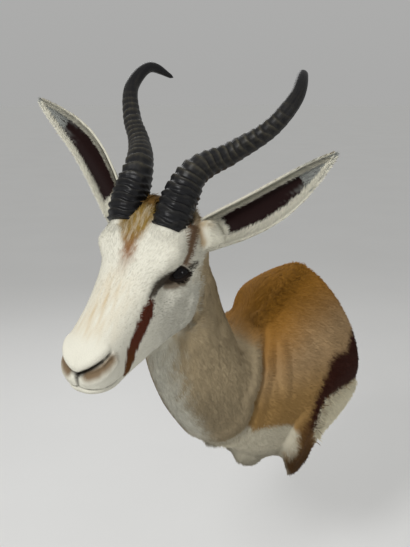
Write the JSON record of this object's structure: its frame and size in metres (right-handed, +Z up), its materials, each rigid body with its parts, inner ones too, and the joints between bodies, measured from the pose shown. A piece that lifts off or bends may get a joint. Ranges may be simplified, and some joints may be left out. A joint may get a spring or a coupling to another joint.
{
  "type": "springbok shoulder mount",
  "caption": "Wall-hung springbok shoulder mount: haired head, neck and shoulders with ringed swept-back horns, open ears, glass eyes and a flat back board.",
  "frame": {"origin": "on the wall face of the back board, near its middle, on the mount's centre line", "axes": "+Z up, +Y into the wall, the animal looks along -Y, +X is the animal's left"},
  "size_m": [0.3683, 0.4823, 0.5735],
  "materials": {
    "hide": "short haired hide, white face, fawn body",
    "horn": "dark ringed horn, satin",
    "eye_glass": "polished dark glass",
    "board_wood": "plain plywood"
  },
  "bodies": {
    "root": {"cape": "hide", "horn_left": "horn", "horn_right": "horn", "eye_left": "eye_glass", "eye_right": "eye_glass", "back_board": "board_wood"}
  },
  "joints": []
}
